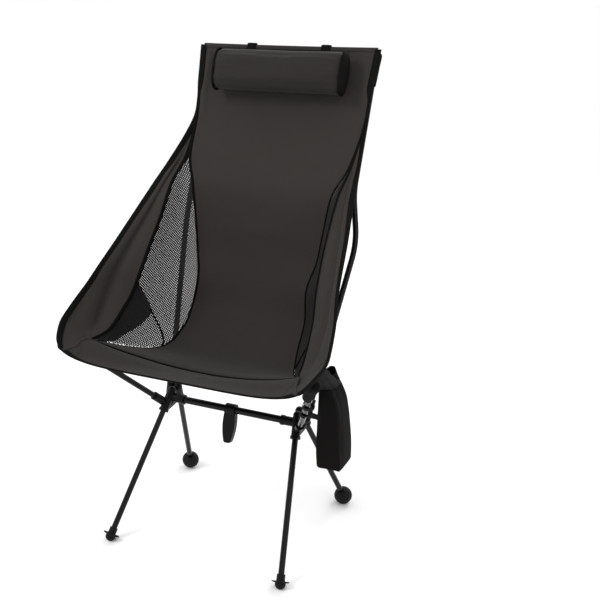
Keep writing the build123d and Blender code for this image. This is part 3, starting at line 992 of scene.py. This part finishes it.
        def place(around: float, part: float) -> Vector:
            ring = profile.at(part * last)
            angle = around * 2 * math.pi
            spot = Vector((math.cos(angle) * 2, math.sin(angle) * 2, ring.y * 70))
            crease = 1.0 + 0.05 * noise.noise(spot)
            offset = broad * math.cos(angle) + deep * (math.sin(angle) * 0.93)
            return tip + axis * ring.y + offset * (ring.x * crease)

        tube = mapped_grid(28, 48, place, (0.055, along.length), closed=True)
        bmesh.ops.recalc_face_normals(tube, faces=tube.faces)
        piece = make_object(name, tube, self.wardrobe.dark_cloth)
        thicken(piece, self.cloth, 0.0)
        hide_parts(node)
        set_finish(piece, "cloth")
        return piece

    def sleeves(self, side: Side) -> list[bpy.types.Object]:
        """Make the sleeves at the ends of one side's seat pole and back pole."""
        made = []
        for place in ("front", "top"):
            node = f"{place}_sleeve_{side.label}"
            low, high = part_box(node)
            middle = (low + high) / 2
            if place == "front":
                start = Vector((low.x if side is Side.RIGHT else high.x, low.y, high.z))
                end = Vector((high.x if side is Side.RIGHT else low.x, high.y, low.z))
            else:
                start = Vector(((low.x + high.x) / 2, high.y, high.z))
                end = Vector(((low.x + high.x) / 2, low.y, low.z))
            along = (end - start).normalized()
            long = (high - low).length * 0.94
            made.append(self.pole_sleeve(f"pole_sleeve_{place}_{side.label}", node,
                                         middle - along * (long / 2), along * long))
        return made

    def build(self) -> None:
        """Make the whole sling."""
        self.panel()
        trims = self.binding()
        for side in Side:
            self.side_panel(side)
            self.net(side)
            trims += self.seam_tapes(side)
            trims += [self.gusset(side), self.net_dart(side)]
            trims += self.sleeves(side)
        for trim in trims:
            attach(trim, "frame")
            if "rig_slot" not in trim:
                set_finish(trim, "tape")


# ---------------------------------------------------------------- pillow
@dataclass
class Pillow:
    """The stuffed head pillow, its end seams and its two straps."""

    wardrobe: Wardrobe
    up: Vector = field(default_factory=lambda: Vector((0.0, 0.3315, 0.9435)))
    front: Vector = field(default_factory=lambda: Vector((0.0, -0.9435, 0.3315)))
    across: float = 0.279
    height: float = 0.084
    depth: float = 0.047
    pressure: float = 6.0
    cap: float = 0.004
    cave: float = 0.0008

    def __post_init__(self) -> None:
        """Find the pillow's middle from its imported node."""
        low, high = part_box("pillow")
        self.middle = (low + high) / 2 + self.up * 0.0025

    def section(self, angle: float, swell: float = 1.0) -> Vector:
        """Return a point of the pillow's oval section, from its middle."""
        tall = math.copysign(abs(math.cos(angle)) ** 0.80, math.cos(angle)) * self.height / 2
        deep = math.copysign(abs(math.sin(angle)) ** 0.80, math.sin(angle)) * self.depth / 2
        return (self.up * tall + self.front * deep) * swell

    def roll(self) -> bpy.types.Object:
        """Make the stuffed roll."""
        half = self.across / 2

        def place(around: float, part: float) -> Vector:
            angle = around * 2 * math.pi
            reach = abs(part * 2 - 1)
            side = 1.0 if part >= 0.5 else -1.0
            if reach > 0.9:
                ring = (1.0 - reach) / 0.1
                return self.middle + Vector((side * half, 0, 0)) + self.section(angle, ring)
            return self.middle + Vector((side * half * reach / 0.9, 0, 0)) + self.section(angle)

        shell = mapped_grid(64, 60, place, (0.22, self.across), closed=True)
        bmesh.ops.recalc_face_normals(shell, faces=shell.faces)
        piece = make_object("pillow_roll", shell, self.wardrobe.pillow_cloth)
        self.inflate(piece)
        self.crease(piece)
        soften = piece.modifiers.new("soften", "SUBSURF")
        soften.levels = soften.render_levels = 1
        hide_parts("pillow")
        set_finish(piece, "pillow_cloth")
        return piece

    def inflate(self, piece: bpy.types.Object) -> None:
        """Blow the roll up with a short cloth simulation and keep its result."""
        remesh = piece.modifiers.new("even", "REMESH")
        remesh.mode = "VOXEL"
        remesh.voxel_size = 0.0045
        remesh.use_smooth_shade = True
        self.bake(piece)
        start = [vert.co.copy() for vert in piece.data.vertices]
        cloth = piece.modifiers.new("cloth", "CLOTH")
        cloth.settings.quality = 6
        cloth.settings.mass = 0.2
        cloth.settings.tension_stiffness = 30.0
        cloth.settings.compression_stiffness = 12.0
        cloth.settings.bending_stiffness = 0.8
        cloth.settings.use_pressure = True
        cloth.settings.uniform_pressure_force = self.pressure
        cloth.settings.effector_weights.gravity = 0.0
        for number in range(1, 21):
            bpy.context.scene.frame_set(number)
        self.bake(piece)
        bpy.context.scene.frame_set(1)
        for vert, rest in zip(piece.data.vertices, start):
            moved = vert.co - rest
            radial = Vector((0.0, rest.y - self.middle.y, rest.z - self.middle.z))
            most = self.cap if moved.dot(radial) > 0 else self.cave
            if moved.length > most:
                vert.co = rest + moved * (most / moved.length)

    @staticmethod
    def bake(piece: bpy.types.Object) -> None:
        """Replace a piece's mesh with what its modifiers make of it."""
        graph = bpy.context.evaluated_depsgraph_get()
        made = bpy.data.meshes.new_from_object(piece.evaluated_get(graph))
        made.name = piece.name
        piece.modifiers.clear()
        piece.data = made

    def crease(self, piece: bpy.types.Object) -> None:
        """Pull the roll in at its end seams and ripple the cloth beside them."""
        half = self.across / 2
        for vert in piece.data.vertices:
            offset = vert.co - self.middle
            near = math.exp(-((abs(offset.x) - half * 0.97) / 0.004) ** 2)
            beside = math.exp(-((abs(offset.x) - half * 0.86) / 0.020) ** 2)
            radial = Vector((0.0, offset.y, offset.z))
            if radial.length < 1e-6:
                continue
            radial.normalize()
            angle = math.atan2(radial.dot(self.front), radial.dot(self.up))
            ripple = math.sin(angle * 17.0 + noise.noise(vert.co * 20.0) * 3.0) * 0.0007 * beside
            slack = noise.noise(Vector((vert.co.x * 9.0, angle * 1.4, 2.0))) * 0.0016
            vert.co += radial * (ripple + slack - 0.0022 * near)
        for face in piece.data.polygons:
            face.use_smooth = True

    def end_seam(self, side: Side) -> bpy.types.Object:
        """Make the bound seam round one end of the roll."""
        place = self.middle + Vector((side.value * self.across / 2 * 0.985, 0, 0))

        def path(part: float) -> Vector:
            return place + self.section(part * 2 * math.pi, 1.02)

        def facing(_: float) -> Vector:
            return Vector((1.0, 0.0, 0.0))

        piece = ribbon(f"pillow_seam_{side.label}", path, facing, path_length(path), 0.0034, 0.0020,
                       self.wardrobe.dark_cloth, 96, loop=True)
        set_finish(piece, "pillow_cloth")
        return piece

    def end_cap(self, side: Side) -> bpy.types.Object:
        """Make the domed end panel of the roll, in black cloth as painted shade for the end in shadow."""
        place = self.middle + Vector((side.value * self.across / 2 * 0.985, 0, 0))

        def dome(around: float, part: float) -> Vector:
            angle = around * 2 * math.pi
            rise = math.sqrt(max(1.0 - part * part, 0.0)) * 0.0065
            pucker = math.sin(angle * 15) * 0.0004 * part ** 3
            out = Vector((side.value * (rise + pucker), 0, 0))
            return place + self.section(angle, part * 1.015) + out

        shell = mapped_grid(72, 14, dome, (0.22, 0.045), closed=True, flip=side is Side.RIGHT)
        # The black cloth on the end panels is painted shade for the roll's ends in shadow.
        piece = make_object(f"pillow_end_{side.label}", shell, self.wardrobe.dark_cloth)
        thicken(piece, 0.0012)
        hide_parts(f"pillow_cap_{side.label}")
        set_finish(piece, "pillow_cloth")
        return piece

    def strap(self, side: Side) -> bpy.types.Object:
        """Make one strap, from behind the pillow over the top edge and down the back."""
        low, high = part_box(f"pillow_strap_{side.label}")
        middle = Vector(((low.x + high.x) / 2, 0.0, 0.0))
        top = self.middle + self.up * (0.014 + 0.045) - self.front * (0.0055 + 0.026)
        start = middle + Vector((0, top.y, top.z))
        spots = [(-0.086, 0.0029), (-0.060, 0.0031), (-0.020, 0.0032), (0.000, 0.0034), (0.0038, 0.0026),
                 (0.0050, 0.0000), (0.0046, -0.0028), (0.000, -0.0052), (-0.020, -0.0057),
                 (-0.045, -0.0058), (-0.070, -0.0062)]
        line = SmoothPath(start + self.up * rise + self.front * ahead for rise, ahead in spots)
        last = len(line.points) - 1

        def path(part: float) -> Vector:
            return line.at(part * last)

        def facing(_: float) -> Vector:
            return Vector((1.0, 0.0, 0.0))

        piece = ribbon(f"strap_{side.label}", path, facing, path_length(path), 0.020, 0.0014,
                       self.wardrobe.tape, 120)
        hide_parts(f"pillow_strap_{side.label}")
        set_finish(piece, "tape")
        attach(piece, "frame")
        return piece

    def build(self) -> None:
        """Make the pillow."""
        roll = self.roll()
        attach(roll, "pillow")
        for side in Side:
            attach(self.end_seam(side), "pillow")
            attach(self.end_cap(side), "pillow")
            self.strap(side)


# ---------------------------------------------------------------- side pocket
@dataclass
class SidePocket:
    """The soft pocket that hangs from the left seat pole."""

    wardrobe: Wardrobe
    cloth: float = 0.0012
    flap_cut: tuple[float, float] = (0.11, 0.07)
    flap_area: float = 0.0059

    def __post_init__(self) -> None:
        """Find the pocket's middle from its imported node."""
        low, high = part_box("side_pocket")
        self.middle = (low + high) / 2
        self.floor = low.z
        self.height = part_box("pocket_rim")[1].z - low.z

    def ring(self, angle: float, part: float) -> Vector:
        """Return a point of the bag's wall.

        Args:
            angle: round the bag, 0 at its outer side and a quarter turn at its rear.
            part: 0 at the floor and 1 at the rim.

        Returns:
            The point.
        """
        sizes = SmoothPath([(0.0255, 0.0345, 0.0085), (0.0256, 0.0350, 0.0075), (0.0252, 0.0350, 0.0060),
                            (0.0245, 0.0350, 0.0040), (0.0235, 0.0350, 0.0015), (0.0210, 0.0345, -0.0015),
                            (0.0150, 0.0315, -0.0060), (0.0075, 0.0250, -0.0100)])
        size = sizes.at(part * 7)
        ahead = -0.0030 * (1.0 - smooth_step(0.0, 0.7, part))
        sharp = 0.34 + 0.34 * part
        cosine, sine = math.cos(angle), math.sin(angle)
        x = math.copysign(abs(cosine) ** sharp, cosine) * size.x
        y = math.copysign(abs(sine) ** sharp, sine) * size.y
        height = self.floor + part * self.height
        sag = 0.010 * part ** 6 * max(cosine, 0.0) * (1 - sine * sine)
        fold = noise.noise(Vector((cosine * 1.6, sine * 1.6, part * 2.2))) * 0.0030
        pleat = noise.noise(Vector((cosine * 5.0, sine * 5.0, part * 1.3 + 9.0))) * 0.0012 * part
        out = Vector((cosine, sine, 0.0)).normalized() * (fold + pleat)
        return Vector((self.middle.x + size.z + x, self.middle.y + ahead + y, height - sag)) + out

    def bag(self) -> bpy.types.Object:
        """Make the bag itself, open at its top."""

        def place(around: float, part: float) -> Vector:
            angle = around * 2 * math.pi
            if part < 0.16:
                share = part / 0.16
                rim = self.ring(angle, 0.0)
                centre = Vector((self.middle.x + 0.003, self.middle.y, self.floor + 0.0005))
                drop = 0.004 * math.sin(share * math.pi / 2)
                point = centre + (rim - centre) * share
                return Vector((point.x, point.y, self.floor + drop * share * share))
            share = (part - 0.16) / 0.84
            point = self.ring(angle, share)
            return point + Vector((0, 0, 0.004 * (1.0 - share) ** 8))

        shell = mapped_grid(88, 90, place, (0.23, self.height + 0.03), closed=True)
        bmesh.ops.recalc_face_normals(shell, faces=shell.faces)
        piece = make_object("pocket_bag", shell, self.wardrobe.dark_cloth)
        thicken(piece, self.cloth)
        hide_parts("side_pocket")
        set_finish(piece, "cloth")
        return piece

    def rim(self) -> list[bpy.types.Object]:
        """Make the bound mouth with its stitches."""

        def path(part: float) -> Vector:
            return self.ring(part * 2 * math.pi, 0.955)

        def facing(part: float) -> Vector:
            return self.ring(part * 2 * math.pi, 1.0) - self.ring(part * 2 * math.pi, 0.9)

        def stitch_line(part: float) -> Vector:
            angle = part * 2 * math.pi
            wall = self.ring(angle, 0.9)
            out = wall - Vector((self.middle.x, self.middle.y, wall.z))
            return self.ring(angle, 0.915) + out.normalized() * 0.0016

        tape = ribbon("pocket_binding", path, facing, path_length(path), 0.016, 0.0026,
                      self.wardrobe.tape, 120, loop=True)
        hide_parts("pocket_rim")
        row = stitches("pocket_stitches", stitch_line, path_length(stitch_line), self.wardrobe.thread)
        return [tape, row]

    def hanging_loop(self, name: str) -> bpy.types.Object:
        """Make one webbing loop round the seat pole."""
        low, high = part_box(f"pocket_loop_{name}")
        seat_low, seat_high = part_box("seat_pole_left")
        rise = seat_high - seat_low
        along = Vector((rise.x, -rise.y, rise.z)).normalized()
        pole = Vector((low.x + 0.0105, (low.y + high.y) / 2, (low.z + high.z) / 2))
        out = Vector((1.0, 0.0, 0.0))
        out = (out - along * out.dot(along)).normalized()
        up = along.cross(out).normalized()
        hold = high.x - 0.0008 - pole.x
        spots = [(hold, 0.0016)]
        spots += [(math.cos(turn) * 0.0078, math.sin(turn) * 0.0078)
                  for turn in (math.radians(30 * step) for step in range(1, 12))]
        spots += [(hold, -0.0016)]
        line = SmoothPath(pole + out * ahead + up * rise for ahead, rise in spots)
        last = len(line.points) - 1

        def path(part: float) -> Vector:
            return line.at(part * last)

        def facing(_: float) -> Vector:
            return along

        piece = ribbon(f"pocket_webbing_{name}", path, facing, path_length(path), 0.018, 0.0014,
                       self.wardrobe.tape, 90)
        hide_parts(f"pocket_loop_{name}")
        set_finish(piece, "tape")
        return piece

    def flap(self) -> None:
        """Make the dark flap that closes the gap between the sling's corner and the pocket's mouth."""
        shape = SlingShape()

        def place(across: float, along: float) -> Vector:
            angle = math.radians(190.0 * across - 170.0)
            upper = shape.edge_at(0.3 + 2.4 * across, Side.LEFT) + Vector((-0.0030, 0.0020, -0.0045))
            wall = self.ring(angle, 0.88)
            lower = wall + (wall - Vector((self.middle.x, self.middle.y, wall.z))).normalized() * 0.0022
            ripple = noise.noise(Vector((across * 5.0, along * 2.0, 4.0))) * 0.0015
            sag = math.sin(math.pi * along) * (0.004 + ripple)
            return lower + (upper - lower) * along + Vector((0.3, -0.4, -0.9)) * sag

        grid = mapped_grid(48, 28, place, (0.11, 0.09))
        bmesh.ops.recalc_face_normals(grid, faces=grid.faces)
        piece = make_object("pocket_flap", grid, self.wardrobe.tape)
        thicken(piece, self.cloth, 0.0)
        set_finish(piece, "tape")
        place(0.5, 0.9)
        place(0.5, 0.1)
        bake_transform(piece)

    def build(self) -> None:
        """Make the pocket."""
        self.flap()
        pieces = [self.bag(), *self.rim(), self.hanging_loop("front"), self.hanging_loop("rear")]
        for piece in pieces:
            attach(piece, "pocket")
            if "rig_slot" not in piece:
                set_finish(piece, "tape")


# ---------------------------------------------------------------- frame, stage
@dataclass
class Poles:
    """Finishes for the poles, hubs, feet, cords and clip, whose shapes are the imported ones."""

    wardrobe: Wardrobe

    def build(self) -> None:
        """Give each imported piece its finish."""
        wardrobe = self.wardrobe
        paired = {
            wardrobe.tube: ("front_leg", "rear_leg", "seat_pole", "back_pole_lower", "back_pole_upper",
                            "ferrule"),
            wardrobe.moulding: ("hub", "seat_pole_tip", "back_pole_tip"),
            wardrobe.rubber: ("front_foot", "rear_foot", "ball_cover"),
            wardrobe.elastic: ("front_leg_cord", "rear_leg_cord", "seat_pole_cord", "back_pole_cord"),
        }
        finishes = {"crossbar": wardrobe.tube, "pole_clip": wardrobe.moulding}
        for finish, stems in paired.items():
            finishes.update({f"{stem}_{side.label}": finish for stem in stems for side in Side})
        for name, finish in finishes.items():
            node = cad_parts[name]
            node.data.materials.clear()
            node.data.materials.append(finish)
            LOG.info("%s: %s", name, finish.name)


@dataclass
class Studio:
    """The pale floor, the soft lights and the camera."""

    azimuth: float = 25.71
    elevation: float = 19.55
    distance: float = 1.889
    target: tuple[float, float, float] = (0.0, 0.0027, 0.450)
    lens: float = 56.4
    shift: tuple[float, float] = (0.1053, 0.0305)

    def floor(self) -> None:
        """Make a white sweep for the chair to stand on."""
        plane = bmesh.new()
        bmesh.ops.create_grid(plane, x_segments=1, y_segments=1, size=60.0)
        paper = SolidFinish("studio_paper", (0.93, 0.93, 0.93), (0.96, 0.96, 0.96), 0.7, relief=0.0)
        make_object("studio_floor", plane, paper.material())

    def light(self, name: str, place: tuple[float, float, float], size: float, power: float) -> None:
        """Hang one soft square light that points at the chair."""
        lamp = bpy.data.lights.new(name, "AREA")
        lamp.size = size
        lamp.energy = power
        stand = bpy.data.objects.new(name, lamp)
        stand.location = place
        stand.rotation_euler = (Vector(self.target) - Vector(place)).to_track_quat("-Z", "Y").to_euler()
        bpy.context.scene.collection.objects.link(stand)

    def camera(self) -> None:
        """Set up the camera."""
        turn, rise = math.radians(self.azimuth), math.radians(self.elevation)
        back = Vector((math.sin(turn) * math.cos(rise), -math.cos(turn) * math.cos(rise), math.sin(rise)))
        data = bpy.data.cameras.new("camera")
        data.lens = self.lens
        data.shift_x, data.shift_y = self.shift
        data.clip_start = 0.05
        stand = bpy.data.objects.new("camera", data)
        stand.location = Vector(self.target) + back * self.distance
        stand.rotation_euler = (-back).to_track_quat("-Z", "Y").to_euler()
        bpy.context.scene.collection.objects.link(stand)
        bpy.context.scene.camera = stand

    def build(self) -> None:
        """Make the studio."""
        self.floor()
        self.light("key", (-1.6, -2.0, 2.8), 1.1, 42.0)
        self.light("fill", (2.6, -1.6, 1.6), 2.4, 10.0)
        self.light("rim", (0.6, 2.4, 2.4), 1.2, 22.0)
        world = bpy.data.worlds.new("studio_air")
        world.use_nodes = True
        world.node_tree.nodes["Background"].inputs[0].default_value = (1.0, 1.0, 1.0, 1.0)
        world.node_tree.nodes["Background"].inputs[1].default_value = 1.06
        bpy.context.scene.world = world
        bpy.context.scene.view_settings.view_transform = "Standard"
        self.camera()


def main() -> None:
    """Build the looks of the chair."""
    logging.basicConfig(level=logging.INFO)
    wardrobe = Wardrobe()
    Poles(wardrobe).build()
    Sling(wardrobe).build()
    Pillow(wardrobe).build()
    SidePocket(wardrobe).build()
    Studio().build()


if __name__ == "__main__":
    main()
